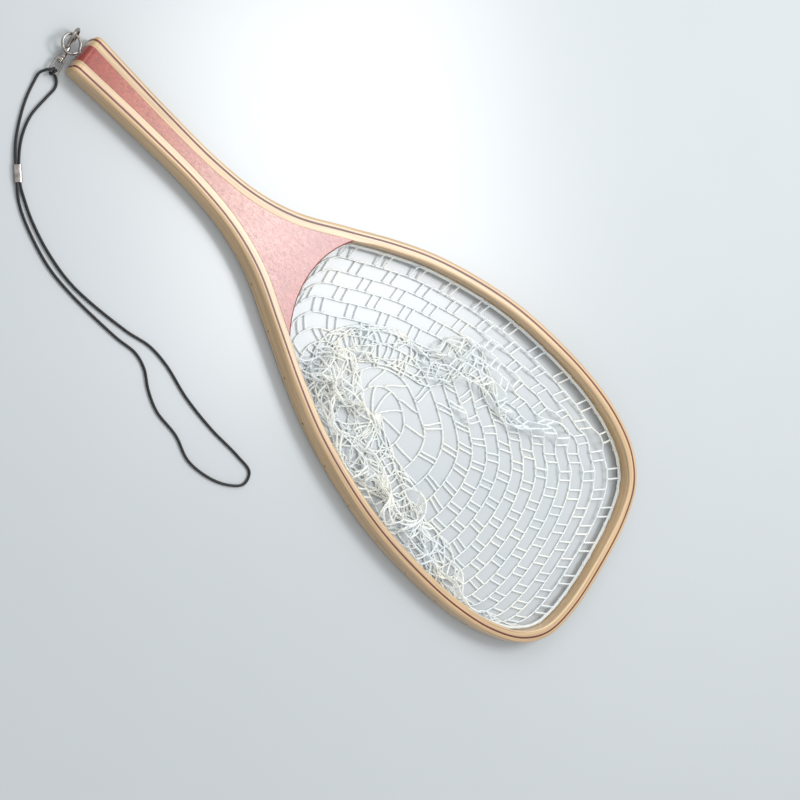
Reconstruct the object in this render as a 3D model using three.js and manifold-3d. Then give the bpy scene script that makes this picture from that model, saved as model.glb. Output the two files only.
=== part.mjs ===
// Landing net: a laminated wooden frame with a clear rubber bag, and a wrist lanyard clipped to its butt.
// Millimetres. X runs along the net from the butt to the tip, Y across it, Z up; the net lies on z = 0.
import * as THREE from 'three';
import { mergeVertices } from 'three/addons/utils/BufferGeometryUtils.js';
import Module from 'manifold-3d';

const wasm = await Module();
wasm.setup();

// ---- driving dimensions ----
const NET_LENGTH = 600;          // butt face to the tip of the dark middle lamination
const ORIGIN_X = 293.3;          // middle of the wood and its screw eye, measured from the butt face
const FRAME_HEIGHT = 16;
const GAP = 0.3;                 // clearance kept between neighbouring solids
const MIDDLE_THICK = 1.5;
const OUTER_THICK = 3.0;
const INNER_THICK = 4.2;
const OUTER_ROUND = 2.4;
const INNER_ROUND = 1.4;
const HANDLE_ROUND = 0.3;
const BUTT_ROUND = 4;
const BUTT_THINNEST = 0.3;       // share of the outer strip's thickness that is left at the butt face
const STEPS_PER_SPAN = 4;

// Half of the middle lamination's plan line: distance from the butt, and half width there.
const HALF_OUTLINE = [
  [0, 12.4], [6, 12.2], [70, 10.4], [125, 10.6], [165, 15], [200, 25.5], [240, 46.5], [280, 68], [315, 84],
  [355, 97], [400, 107], [450, 111.5], [500, 111], [540, 104.5], [570, 92], [588, 74], [597, 46],
];

const THROAT_X = 235.6;          // middle of the crescent that ends the handle
const THROAT_RADIUS = 77;
const HORN_TIP_X = 252;          // where the handle's horns run out against the hoop

const HOLE_RADIUS = 0.9;
const HOLE_HEIGHT = 4.8;
const HOLE_PITCH = 37;
const FIRST_HOLE_X = 208;
const HORN_HOLE_DEPTH = 26;
const HOOP_HOLE_DEPTH = 14;

const BAG_RIM_Z = 6.5;
const BAG_FLOOR_Z = 0.3;
const BAG_THICK = 1.6;
const BAG_CLEARANCE = 1.2;

const EYE_CENTRE = new THREE.Vector3(-9.3, 0.2, 8);
const EYE_RADIUS = 7;
const EYE_WIRE = 1.0;
const SCREW_RADIUS = 1.5;
const SCREW_LENGTH = 24;

const SNAP_BASE = new THREE.Vector3(-8.1, -7, 4.65);
const SNAP_AXIS = new THREE.Vector3(-0.126, 0.985, 0.087).normalize();
const SNAP_ROLL = 32;            // degrees that the hook leans over from upright
const BARREL_RADIUS = 2.0;
const BARREL_BACK = -3.5;
const BARREL_FRONT = 5.9;
const HOOK_WIRE = 1.3;
const PIVOT = [1.2, -1];         // gate pin, along and above the snap's axis
const PIN_RADIUS = 0.5;
const PIN_HALF = 1.85;
const PIN_CLEARANCE = 0.15;
const SLOT_HALF = 1.3;
const GATE_HALF = 0.55;
const SPRING_RADIUS = 0.85;
const SPRING_WIRE = 0.08;
const SPRING_PITCH = 0.2;
const RIVET_RADIUS = 0.9;
const RIVET_HOLE_RADIUS = 1.2;
const BAIL_TIP = -13.6;          // where the swivel's bail starts to turn, along the snap's axis
const BAIL_HALF_THICK = 0.7;
const BAIL_BEVEL = 0.3;
const HITCH_CENTRE = -15.65;
const HITCH_RADIUS = 2.3;

const CORD_RADIUS = 1.0;
const SLEEVE_CENTRE = [18, -93.8];
const SLEEVE_DIRECTION = [0.677, -0.736];
const SLEEVE_LENGTH = 12;
const SLEEVE_RADIUS = 1.75;
const SLEEVE_STRAIGHT = 15;      // length over which the two strands run straight, side by side
const STRAND_OFFSET = 1.2;

const WOOD_LIGHT = { color: 0xe3c193, roughness: 0.45 };
const WOOD_DARK = { color: 0x7a3f28, roughness: 0.45 };
const WOOD_STAINED = { color: 0xc76a5c, roughness: 0.35 };
const NICKEL = { color: 0xc9c7c2, roughness: 0.22, metalness: 1 };
const SPRING_STEEL = { color: 0x9a9a98, roughness: 0.35, metalness: 1 };
const CLEAR_RUBBER = { color: 0xe9edee, roughness: 0.3, transparent: true, opacity: 0.6 };
const BLACK_CORD = { color: 0x151515, roughness: 0.7 };

// ---- helpers ----
const net = new THREE.Group();
net.position.x = -ORIGIN_X;

function addPiece(parent, name, geometry, finish) {
  const mesh = new THREE.Mesh(geometry, new THREE.MeshStandardMaterial(finish));
  mesh.name = name;
  parent.add(mesh);
  return mesh;
}

function toSolid(geometry) {
  const bare = geometry.clone();
  bare.deleteAttribute('normal');
  bare.deleteAttribute('uv');
  const merged = mergeVertices(bare, 1e-4);
  const mesh = new wasm.Mesh({
    numProp: 3,
    vertProperties: new Float32Array(merged.attributes.position.array),
    triVerts: new Uint32Array(merged.index.array),
  });
  return new wasm.Manifold(mesh);
}

function toGeometry(solid) {
  const mesh = solid.getMesh();
  const geometry = new THREE.BufferGeometry();
  geometry.setAttribute('position', new THREE.BufferAttribute(new Float32Array(mesh.vertProperties), 3));
  geometry.setIndex(new THREE.BufferAttribute(new Uint32Array(mesh.triVerts), 1));
  geometry.computeVertexNormals();
  return geometry;
}

// A closed skin through equal rings of points, with a fan cap on each end.
function skinThrough(rings) {
  const count = rings[0].length;
  const positions = rings.flat().flatMap((p) => [p.x, p.y, p.z]);
  const index = [];
  for (let i = 0; i + 1 < rings.length; i += 1) {
    for (let j = 0; j < count; j += 1) {
      const a = i * count + j;
      const b = i * count + ((j + 1) % count);
      index.push(a, b, a + count, b, b + count, a + count);
    }
  }
  const last = (rings.length - 1) * count;
  for (let j = 1; j + 1 < count; j += 1) {
    index.push(0, j + 1, j, last, last + j, last + j + 1);
  }
  const geometry = new THREE.BufferGeometry();
  geometry.setAttribute('position', new THREE.Float32BufferAttribute(positions, 3));
  geometry.setIndex(index);
  geometry.computeVertexNormals();
  return geometry;
}

function cylinderBetween(from, to, radius, sides) {
  const direction = to.clone().sub(from);
  const geometry = new THREE.CylinderGeometry(radius, radius, direction.length(), sides);
  const turn = new THREE.Quaternion().setFromUnitVectors(new THREE.Vector3(0, 1, 0), direction.normalize());
  geometry.applyQuaternion(turn);
  const middle = from.clone().add(to).multiplyScalar(0.5);
  geometry.translate(middle.x, middle.y, middle.z);
  return geometry;
}

function circleShape(radius, sides) {
  const points = [];
  for (let i = 0; i < sides; i += 1) {
    const angle = (2 * Math.PI * i) / sides;
    points.push(new THREE.Vector2(radius * Math.cos(angle), radius * Math.sin(angle)));
  }
  return new THREE.Shape(points);
}

function tubeAlong(points, radius, sides, steps) {
  const path = new THREE.CatmullRomCurve3(points, false, 'centripetal');
  return new THREE.ExtrudeGeometry(circleShape(radius, sides), {
    steps, extrudePath: path, bevelEnabled: false,
  });
}

// ---- the frame's plan line, from the butt's +Y corner round the tip to its -Y corner ----
const tipPoint = [NET_LENGTH, 0];
const mirrored = HALF_OUTLINE.map(([x, y]) => [x, -y]).reverse();
const outlinePoints = [...HALF_OUTLINE, tipPoint, ...mirrored].map(([x, y]) => new THREE.Vector3(x, y, 0));
const outline = new THREE.CatmullRomCurve3(outlinePoints, false, 'centripetal');
const stationCount = (outlinePoints.length - 1) * STEPS_PER_SPAN;
const stations = [];
for (let i = 0; i <= stationCount; i += 1) {
  const tangent = outline.getTangent(i / stationCount);
  const outward = new THREE.Vector3(-tangent.y, tangent.x, 0);
  stations.push({ point: outline.getPoint(i / stationCount), outward });
}

function offsetPoint(station, offset, z) {
  return station.point.clone().addScaledVector(station.outward, offset).setZ(z);
}

function buttFactor(x) {
  const inside = Math.min(1, x / BUTT_ROUND);
  return BUTT_THINNEST + (1 - BUTT_THINNEST) * Math.sqrt(1 - (1 - inside) ** 2);
}

// Section of a strip as [offset, height] pairs, with one long side rounded over.
function roundedStrip(square, rounded, radius) {
  const side = Math.sign(rounded - square);
  const corners = [[square, 0], [square, FRAME_HEIGHT]];
  for (const turn of [90, 45, 0]) {
    const angle = THREE.MathUtils.degToRad(turn);
    corners.push([
      rounded - side * radius * (1 - Math.cos(angle)),
      FRAME_HEIGHT - radius * (1 - Math.sin(angle)),
    ]);
  }
  for (const turn of [0, 45, 90]) {
    const angle = THREE.MathUtils.degToRad(turn);
    corners.push([rounded - side * radius * (1 - Math.cos(angle)), radius * (1 - Math.sin(angle))]);
  }
  return corners;
}

function lamination(sectionAt) {
  const rings = stations.map((station) => (
    sectionAt(station.point.x).map(([offset, z]) => offsetPoint(station, offset, z))
  ));
  const solid = toSolid(skinThrough(rings));
  return solid.volume() > 0 ? solid : toSolid(skinThrough(rings.map((ring) => ring.reverse())));
}

const middleHalf = MIDDLE_THICK / 2;
const innerFace = -(middleHalf + GAP + INNER_THICK);

function outerSection(x) {
  const square = middleHalf + GAP;
  const thick = OUTER_THICK * buttFactor(x);
  return roundedStrip(square, square + thick, Math.min(OUTER_ROUND, thick * 0.8));
}

function middleSection() {
  return [
    [-middleHalf, 0], [-middleHalf, FRAME_HEIGHT], [middleHalf, FRAME_HEIGHT], [middleHalf, 0],
  ];
}

function innerSection(x) {
  const radius = x > HORN_TIP_X ? INNER_ROUND : HANDLE_ROUND;
  return roundedStrip(-middleHalf - GAP, innerFace, radius);
}

// ---- lacing holes, drilled through the hoop square to its line ----
function lacingDrills() {
  const total = outline.getLength();
  const drills = [];
  const halfHoles = [];
  for (let s = 0; s < total / 2; s += 1) {
    const point = outline.getPointAt(s / total);
    const isFirst = halfHoles.length === 0 && point.x >= FIRST_HOLE_X;
    const isNext = halfHoles.length > 0 && s - halfHoles[halfHoles.length - 1] >= HOLE_PITCH;
    if (isFirst || isNext) halfHoles.push(s);
  }
  for (const s of halfHoles.flatMap((along) => [along, total - along])) {
    const point = outline.getPointAt(s / total);
    const tangent = outline.getTangentAt(s / total);
    const outward = new THREE.Vector3(-tangent.y, tangent.x, 0);
    const depth = point.x < HORN_TIP_X ? HORN_HOLE_DEPTH : HOOP_HOLE_DEPTH;
    const from = point.clone().addScaledVector(outward, OUTER_THICK * 2).setZ(HOLE_HEIGHT);
    const to = point.clone().addScaledVector(outward, -depth).setZ(HOLE_HEIGHT);
    drills.push(toSolid(cylinderBetween(from, to, HOLE_RADIUS, 6)));
  }
  return drills.reduce((all, drill) => all.add(drill));
}

const drilled = lacingDrills();

function addLaminations() {
  addPiece(net, 'outer_lamination', toGeometry(lamination(outerSection).subtract(drilled)), WOOD_LIGHT);
  addPiece(net, 'middle_lamination', toGeometry(lamination(middleSection).subtract(drilled)), WOOD_DARK);
  addPiece(net, 'inner_lamination', toGeometry(lamination(innerSection).subtract(drilled)), WOOD_LIGHT);
}

// ---- the crescent that closes the hoop at the throat ----
const throatCentre = new THREE.Vector2(THROAT_X + THROAT_RADIUS, 0);

// The +Y point where a line beside the frame's outline meets the crescent, and that line's later points.
function throatCorner(offset, radius) {
  const side = stations
    .filter(({ point }) => point.y > 0)
    .map((station) => offsetPoint(station, offset, 0))
    .map((point) => new THREE.Vector2(point.x, point.y));
  const after = side.findIndex((point) => point.distanceTo(throatCentre) < radius);
  let [outside, inside] = [side[after - 1], side[after]];
  for (let i = 0; i < 30; i += 1) {
    const middle = outside.clone().lerp(inside, 0.5);
    if (middle.distanceTo(throatCentre) < radius) inside = middle;
    else outside = middle;
  }
  return { corner: inside, before: side.slice(0, after), after: side.slice(after) };
}

// The crescent between two mirrored corners, from +Y to -Y, without the corners themselves.
function crescentBetween(corner, radius) {
  const half = Math.atan2(corner.y, throatCentre.x - corner.x);
  const count = 16;
  const points = [];
  for (let i = 1; i < count; i += 1) {
    const angle = half * (1 - (2 * i) / count);
    points.push(new THREE.Vector2(throatCentre.x - radius * Math.cos(angle), radius * Math.sin(angle)));
  }
  return points;
}

function mirror(points) {
  return points.map(({ x, y }) => new THREE.Vector2(x, -y)).reverse();
}

function addHandleCore() {
  const { corner, before } = throatCorner(innerFace - GAP, THROAT_RADIUS);
  const crescent = crescentBetween(corner, THROAT_RADIUS);
  const upper = [...before, corner];
  const shape = new THREE.Shape([...upper, ...crescent, ...mirror(upper)]);
  const block = new THREE.ExtrudeGeometry(shape, { depth: FRAME_HEIGHT, bevelEnabled: false });
  const shank = cylinderBetween(
    new THREE.Vector3(-1, EYE_CENTRE.y, EYE_CENTRE.z),
    new THREE.Vector3(SCREW_LENGTH + 1, EYE_CENTRE.y, EYE_CENTRE.z), SCREW_RADIUS + GAP, 10,
  );
  const core = toSolid(block).subtract(toSolid(shank)).subtract(drilled);
  addPiece(net, 'handle_core', toGeometry(core), WOOD_STAINED);
}

// ---- the rubber bag, collapsed inside the hoop as a shallow open dish ----
function bagOutline(inset) {
  const radius = THROAT_RADIUS - BAG_CLEARANCE - inset;
  const { corner, after } = throatCorner(innerFace - BAG_CLEARANCE - inset, radius);
  const tip = new THREE.Vector2(NET_LENGTH + innerFace - BAG_CLEARANCE - inset, 0);
  const throat = crescentBetween(corner, radius).reverse();
  return new THREE.Shape([corner, ...after, tip, ...mirror([corner, ...after]), ...throat]);
}

function addBag() {
  const depth = BAG_RIM_Z - BAG_FLOOR_Z;
  const outer = new THREE.ExtrudeGeometry(bagOutline(0), { depth, bevelEnabled: false });
  outer.translate(0, 0, BAG_FLOOR_Z);
  const inner = new THREE.ExtrudeGeometry(bagOutline(BAG_THICK), { depth: BAG_RIM_Z, bevelEnabled: false });
  inner.translate(0, 0, BAG_FLOOR_Z + BAG_THICK);
  addPiece(net, 'rubber_bag', toGeometry(toSolid(outer).subtract(toSolid(inner))), CLEAR_RUBBER);
}

// ---- the screw eye in the butt ----
function addScrewEye() {
  const ringShape = [];
  const sides = 10;
  for (let i = 0; i <= sides; i += 1) {
    const angle = (2 * Math.PI * i) / sides;
    ringShape.push(new THREE.Vector2(EYE_RADIUS + EYE_WIRE * Math.cos(angle), EYE_WIRE * Math.sin(angle)));
  }
  const ring = new THREE.LatheGeometry(ringShape, 32);
  ring.rotateX(Math.PI / 2);
  ring.translate(EYE_CENTRE.x, EYE_CENTRE.y, EYE_CENTRE.z);
  const neck = EYE_CENTRE.x + EYE_RADIUS;
  const shank = new THREE.LatheGeometry([
    new THREE.Vector2(0, neck - 0.2), new THREE.Vector2(0.9, neck - 0.2), new THREE.Vector2(1.1, 0),
    new THREE.Vector2(SCREW_RADIUS, 2), new THREE.Vector2(SCREW_RADIUS, SCREW_LENGTH - 5),
    new THREE.Vector2(0.3, SCREW_LENGTH), new THREE.Vector2(0, SCREW_LENGTH),
  ], 10);
  shank.rotateZ(-Math.PI / 2);
  shank.translate(0, EYE_CENTRE.y, EYE_CENTRE.z);
  addPiece(net, 'screw_eye', toGeometry(toSolid(ring).add(toSolid(shank))), NICKEL);
}

// ---- the snap: x along its axis towards the hook's crown, z towards the hook's back ----
function snapFrame(roll) {
  const level = new THREE.Vector3(0, 0, 1).addScaledVector(SNAP_AXIS, -SNAP_AXIS.z).normalize();
  const up = level.applyAxisAngle(SNAP_AXIS, THREE.MathUtils.degToRad(-roll));
  const side = new THREE.Vector3().crossVectors(up, SNAP_AXIS);
  const frame = new THREE.Group();
  frame.quaternion.setFromRotationMatrix(new THREE.Matrix4().makeBasis(SNAP_AXIS, side, up));
  frame.position.copy(SNAP_BASE);
  net.add(frame);
  return frame;
}

const hookFrame = snapFrame(SNAP_ROLL);
const swivelFrame = snapFrame(0);

function latheAlongX(profile, sides) {
  const geometry = new THREE.LatheGeometry(profile.map(([x, r]) => new THREE.Vector2(r, x)), sides);
  geometry.rotateZ(-Math.PI / 2);
  return geometry;
}

function pinHole(radius) {
  return cylinderBetween(
    new THREE.Vector3(PIVOT[0], -4, PIVOT[1]), new THREE.Vector3(PIVOT[0], 4, PIVOT[1]), radius, 10,
  );
}

function rivetHoleBetween(from, to) {
  return cylinderBetween(new THREE.Vector3(from, 0, 0), new THREE.Vector3(to, 0, 0), RIVET_HOLE_RADIUS, 10);
}

function addSnapHook() {
  const barrel = latheAlongX([
    [BARREL_BACK, 0], [BARREL_BACK, 1.7], [-3, BARREL_RADIUS], [-2.2, BARREL_RADIUS], [-1.8, 1.8],
    [-1.4, BARREL_RADIUS], [4.6, BARREL_RADIUS], [BARREL_FRONT, 1.4], [BARREL_FRONT, 0],
  ], 14);
  const hookLine = [
    [3.6, 0.2], [6.4, 3.2], [10.2, 5.1], [14.4, 5.3], [17.7, 3.9], [19.2, 1.1], [18, -1.7], [15.2, -3.1],
    [11.6, -3.4],
  ].map(([x, z]) => new THREE.Vector3(x, 0, z));
  const hook = tubeAlong(hookLine, HOOK_WIRE, 8, 26);
  const slot = new THREE.BoxGeometry(9, 2 * SLOT_HALF, 4);
  slot.translate(4.3, 0, -1.7);
  const rivetHole = rivetHoleBetween(-5, -1.2);
  const solid = toSolid(barrel).add(toSolid(hook)).subtract(toSolid(slot))
    .subtract(toSolid(rivetHole)).subtract(toSolid(pinHole(PIN_RADIUS + PIN_CLEARANCE)));
  addPiece(hookFrame, 'snap_hook', toGeometry(solid), NICKEL);
}

function addGate() {
  const outlineShape = new THREE.Shape([
    [0.2, -0.5], [0.2, -1.6], [1.2, -2.05], [4, -2.4], [10.9, -2.4], [11.2, -1.8], [13, -1.75], [13.2, -1.45],
    [12.9, -1.15], [4, -1.15], [2.4, -0.5], [1.2, -0.1],
  ].map(([x, z]) => new THREE.Vector2(x, z)));
  const lever = new THREE.ExtrudeGeometry(outlineShape, { depth: 2 * GATE_HALF, bevelEnabled: false });
  lever.rotateX(Math.PI / 2);
  lever.translate(0, GATE_HALF, 0);
  const solid = toSolid(lever).subtract(toSolid(pinHole(PIN_RADIUS + PIN_CLEARANCE)));
  addPiece(hookFrame, 'snap_gate', toGeometry(solid), NICKEL);
}

function addGatePinAndSpring() {
  const pin = cylinderBetween(
    new THREE.Vector3(PIVOT[0], -PIN_HALF, PIVOT[1]), new THREE.Vector3(PIVOT[0], PIN_HALF, PIVOT[1]),
    PIN_RADIUS, 10,
  );
  addPiece(hookFrame, 'gate_pin', pin, SPRING_STEEL);
  const coil = [];
  const turns = 1.3;
  const start = 0.82;
  const count = 14;
  for (let i = 0; i <= count; i += 1) {
    const angle = 2 * Math.PI * turns * (i / count);
    coil.push(new THREE.Vector3(
      PIVOT[0] + SPRING_RADIUS * Math.cos(angle), start + SPRING_PITCH * turns * (i / count),
      PIVOT[1] + SPRING_RADIUS * Math.sin(angle),
    ));
  }
  const spring = tubeAlong(coil, SPRING_WIRE, 5, 22);
  addPiece(hookFrame, 'gate_spring', spring, SPRING_STEEL);
}

function addSwivel() {
  const rivet = latheAlongX([
    [-7.5, 0], [-7.5, 1.2], [-7.2, 1.6], [-6.6, 1.6], [-6.5, RIVET_RADIUS], [-1.6, RIVET_RADIUS], [-1.6, 0],
  ], 12);
  addPiece(hookFrame, 'swivel_rivet', rivet, NICKEL);
  const frameShape = new THREE.Shape();
  frameShape.moveTo(-4, -2.2);
  frameShape.lineTo(-5.2, -3.6);
  frameShape.lineTo(BAIL_TIP, -4.1);
  frameShape.absarc(BAIL_TIP, -1.1, 3, -Math.PI / 2, -Math.PI, true);
  frameShape.absarc(BAIL_TIP, 1.1, 3, Math.PI, Math.PI / 2, true);
  frameShape.lineTo(-5.2, 3.6);
  frameShape.lineTo(-4, 2.2);
  const window = new THREE.Path();
  window.moveTo(-6.2, -2.3);
  window.lineTo(-6.2, 2.3);
  window.lineTo(-13.2, 2.4);
  window.absarc(-13.2, 0.9, 1.5, Math.PI / 2, Math.PI, false);
  window.absarc(-13.2, -0.9, 1.5, Math.PI, 1.5 * Math.PI, false);
  frameShape.holes.push(window);
  const bail = new THREE.ExtrudeGeometry(frameShape, {
    depth: 2 * (BAIL_HALF_THICK - BAIL_BEVEL), curveSegments: 5,
    bevelThickness: BAIL_BEVEL, bevelSize: BAIL_BEVEL, bevelOffset: -BAIL_BEVEL, bevelSegments: 1,
  });
  bail.translate(0, 0, BAIL_BEVEL - BAIL_HALF_THICK);
  const rivetHole = rivetHoleBetween(-8, -3);
  const boss = latheAlongX([[-6.2, 0], [-6.2, 1.9], [-4, 1.9], [-4, 0]], 12);
  const solid = toSolid(bail).add(toSolid(boss)).subtract(toSolid(rivetHole));
  addPiece(swivelFrame, 'swivel_eye', toGeometry(solid), NICKEL);
}

// ---- the lanyard: a turn of cord round the swivel eye, the cord itself, and its crimped sleeve ----
function addHitch() {
  const radius = CORD_RADIUS - 0.05;
  const section = [];
  for (let i = 0; i <= 8; i += 1) {
    const angle = (2 * Math.PI * i) / 8;
    section.push(new THREE.Vector2(HITCH_RADIUS + radius * Math.cos(angle), radius * Math.sin(angle)));
  }
  const turn = new THREE.LatheGeometry(section, 18);
  turn.translate(HITCH_CENTRE, 0, 0);
  addPiece(swivelFrame, 'cord_hitch', turn, BLACK_CORD);
}

function sleevePoint(along, across, z) {
  const [dx, dy] = SLEEVE_DIRECTION;
  return [SLEEVE_CENTRE[0] + along * dx - across * dy, SLEEVE_CENTRE[1] + along * dy + across * dx, z];
}

const ON_FLOOR = 1.1;
const IN_SLEEVE = 1.8;
const SLEEVE_END = SLEEVE_STRAIGHT / 2;
const CORD_ROUTE = [
  [-10.9, -25, 4.4], [-12.9, -29.4, 2.2], [-11.9, -36.5, ON_FLOOR], [-8, -53, ON_FLOOR], [3, -77, 1.3],
  sleevePoint(-SLEEVE_END, -STRAND_OFFSET, IN_SLEEVE), sleevePoint(SLEEVE_END, -STRAND_OFFSET, IN_SLEEVE),
  [30, -107.5, ON_FLOOR], [44, -116.2, ON_FLOOR], [74, -127.8, ON_FLOOR],
  [99, -131.6, ON_FLOOR], [146, -132.6, ON_FLOOR], [165, -131.4, ON_FLOOR],
  [177, -135.4, ON_FLOOR], [189, -145, ON_FLOOR], [204, -152.8, ON_FLOOR], [227, -156.6, ON_FLOOR],
  [246, -164.3, ON_FLOOR], [267, -163.5, ON_FLOOR], [284, -157.6, ON_FLOOR], [294.2, -149, ON_FLOOR],
  [292.6, -139.4, ON_FLOOR], [277, -136.4, ON_FLOOR], [247, -134.8, ON_FLOOR], [217, -130.2, ON_FLOOR],
  [190, -122.4, ON_FLOOR], [171, -120.4, ON_FLOOR], [149, -124, ON_FLOOR], [98, -126.3, ON_FLOOR],
  [69, -120.6, ON_FLOOR], [46, -111.6, ON_FLOOR], [33, -104.2, ON_FLOOR],
  sleevePoint(SLEEVE_END, STRAND_OFFSET, IN_SLEEVE), sleevePoint(-SLEEVE_END, STRAND_OFFSET, IN_SLEEVE),
  [5.2, -73, 1.3], [0.9, -57, ON_FLOOR], [1.9, -38, ON_FLOOR], [2.6, -29.6, ON_FLOOR], [1.3, -25.8, 1.2],
  [-0.9, -23.7, 1.5],
];

function addCord() {
  const points = CORD_ROUTE.map(([x, y, z]) => new THREE.Vector3(x, y, z));
  addPiece(net, 'lanyard_cord', tubeAlong(points, CORD_RADIUS, 8, 80), BLACK_CORD);
}

function ovalPath(halfWidth, radius, Kind) {
  const path = new Kind();
  path.moveTo(-halfWidth, -radius);
  path.lineTo(halfWidth, -radius);
  path.absarc(halfWidth, 0, radius, -Math.PI / 2, Math.PI / 2, false);
  path.lineTo(-halfWidth, radius);
  path.absarc(-halfWidth, 0, radius, Math.PI / 2, 1.5 * Math.PI, false);
  return path;
}

function addSleeve() {
  const section = ovalPath(STRAND_OFFSET, SLEEVE_RADIUS, THREE.Shape);
  section.holes.push(ovalPath(STRAND_OFFSET, CORD_RADIUS + GAP, THREE.Path));
  const sleeve = new THREE.ExtrudeGeometry(section, {
    depth: SLEEVE_LENGTH, curveSegments: 6, bevelEnabled: false,
  });
  sleeve.translate(0, 0, -SLEEVE_LENGTH / 2);
  const along = new THREE.Vector3(SLEEVE_DIRECTION[0], SLEEVE_DIRECTION[1], 0).normalize();
  const across = new THREE.Vector3(-along.y, along.x, 0);
  const up = new THREE.Vector3(0, 0, 1);
  const mesh = addPiece(net, 'crimp_sleeve', sleeve, NICKEL);
  mesh.quaternion.setFromRotationMatrix(new THREE.Matrix4().makeBasis(across, up, along));
  mesh.position.set(SLEEVE_CENTRE[0], SLEEVE_CENTRE[1], IN_SLEEVE);
}

addLaminations();
addHandleCore();
addBag();
addScrewEye();
addSnapHook();
addGate();
addGatePinAndSpring();
addSwivel();
addHitch();
addCord();
addSleeve();

export default net;
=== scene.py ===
# Landing net, Blender 4.5. Metres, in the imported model's frame: the net lies on z = 0, its tip towards +X.
import math

import bmesh
import bpy
import numpy as np
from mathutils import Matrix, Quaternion, Vector


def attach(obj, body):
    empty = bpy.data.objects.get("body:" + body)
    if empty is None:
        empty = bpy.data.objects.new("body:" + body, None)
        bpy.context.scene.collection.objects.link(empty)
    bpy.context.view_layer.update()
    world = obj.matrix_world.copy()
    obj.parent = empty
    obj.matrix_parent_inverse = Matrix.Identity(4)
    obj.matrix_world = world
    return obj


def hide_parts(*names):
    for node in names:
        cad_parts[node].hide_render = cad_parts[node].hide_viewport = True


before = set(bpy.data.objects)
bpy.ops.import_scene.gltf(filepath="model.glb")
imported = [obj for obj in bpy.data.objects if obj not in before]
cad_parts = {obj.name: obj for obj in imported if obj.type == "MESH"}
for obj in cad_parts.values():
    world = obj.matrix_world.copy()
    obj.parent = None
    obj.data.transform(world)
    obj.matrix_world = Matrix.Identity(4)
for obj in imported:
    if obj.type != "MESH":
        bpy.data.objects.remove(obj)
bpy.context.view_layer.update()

MM = 0.001

# ---- camera ----
CAMERA_POSITION = Vector((-0.7154, -0.6246, 1.3578))
CAMERA_TARGET = Vector((0.0738, -0.0132, 0.0))
CAMERA_ROLL = math.radians(90.78)
CAMERA_LENS = 99.0

FLOOR_DROP = -0.0001
FLOOR_HALF = 4.0
FLOOR_TONE = (0.44, 0.465, 0.475)
MIRROR_SPOT = Vector((-0.085, 0.085, 0.0))

# ---- the frame, as in the CAD source: millimetres from the butt face ----
BUTT_X = 293.3
HALF_OUTLINE = [
    (0, 12.4), (6, 12.2), (70, 10.4), (125, 10.6), (165, 15), (200, 25.5), (240, 46.5), (280, 68), (315, 84),
    (355, 97), (400, 107), (450, 111.5), (500, 111), (540, 104.5), (570, 92), (588, 74), (597, 46),
]
TIP_X = 600
FRAME_HEIGHT = 16
MIDDLE_HALF = 0.75
INNER_FACE = -5.25
OUTER_FACE = 4.05
HOLE_HEIGHT = 4.8
HOLE_PITCH = 37
FIRST_HOLE_X = 208
HOLE_RADIUS = 0.9
DRILL_START = 6
HORN_TIP_X = 252
HORN_HOLE_DEPTH = 26
HOOP_HOLE_DEPTH = 14
OUTER_ROUNDING = 2.4
INNER_ROUNDING = 0.35
INNER_ROUNDING_MORE = 1.05
HORN_BLEND = 12
BUTT_ROUND = 4
BUTT_THINNEST = 0.3
BUTT_EASE = 4.5
ROUND_STEPS = 6
GLUE_LINE = 0.02
HANDLE_JOINT = 0.28
EASED_EDGE = 0.25 * MM
CRESCENT_EDGE = 0.8
# Where the handle's colour ramp runs, in metres: red stain, with a painted highlight band in its middle.
STAIN_AND_HIGHLIGHT_FROM, STAIN_AND_HIGHLIGHT_TO = -0.293, -0.045
THROAT_X = 235.6
THROAT_RADIUS = 77
THROAT_CENTRE_X = THROAT_X + THROAT_RADIUS
CRESCENT_SIDES = 240
CORE_STATIONS = (6, HORN_TIP_X + 6)
CUT_PAST = 5

# ---- the rubber net, in millimetres ----
# The rings' distances from the hub, measured along the rubber. Their girth grows as a quarter of a sine wave
# that would reach the rim's girth at WALL_FROM.
RINGS = np.array([0, 4, 28, 50, 68, 84, 99, 113, 126, 139, 151, 163, 175, 187, 199, 211, 223, 235, 247.0])
COLUMNS = 112
WALL_FROM = 275
HUB = (358, -38)
HUB_HEIGHT = 1.2
NET_MIDDLE = (400, 0)
RIM_OFFSET = -7.0
RIM_OFFSET_THROAT = 1.7
RIM_HEIGHT = 5.0
RIM_RADIUS = 1.3
RING_RADIUS = 0.6
RING_WAVE = 0.10
BAR_RADIUS = 0.75
BAR_FLARE = np.array([1.35, 1.05, 1.0, 1.0, 1.0, 1.05, 1.35])
BAR_BEND = 0.9
BAR_SPACING = 4
STRAND_SIDES = 7
SINGLES_TO = 55
FEW_PAIRS_TO = 90
STRAND_LOW, STRAND_HIGH = 1.1, 15.6

# ---- how the net is folded before it falls, in millimetres ----
# A column with this much slack or more starts square in from the rim; with less it leans towards the hub.
SQUARE_FROM_SLACK = 80
# Columns whose rim is nearer to the hub than this fold more often, by EXTRA_FOLDS for each FOLD_MORE_OVER.
FOLD_MORE_UNDER = 95
FOLD_MORE_OVER = 45
EXTRA_FOLDS = 2.4
NEAREST_TURN, FURTHEST_TURN = 8, 22
START_HEIGHT, TURN_HEIGHT, END_HEIGHT = 5, 9, 2
SMOOTHINGS = 6
WAVE_SIZE = 1.2
JITTER = 0.3

# ---- how the net settles: millimetres, and millimetres per step ----
FALL = (-0.05, -0.15, -0.25)
SPEED_KEPT = 0.9
TOP_SPEED = 4
FLOOR_GRIP = 0.2
NEAR_FLOOR = 0.8
FLOOR_CLEAR = 1.0
NET_TOP = 15.0
LAYER_GAP = 2.0
LAYER_LOOK = LAYER_GAP * 3
SAME_STRAND = LAYER_GAP * 2.2
LAYER_LIFT = 2
NET_STEPS = 160
ROUNDS = 14
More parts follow.
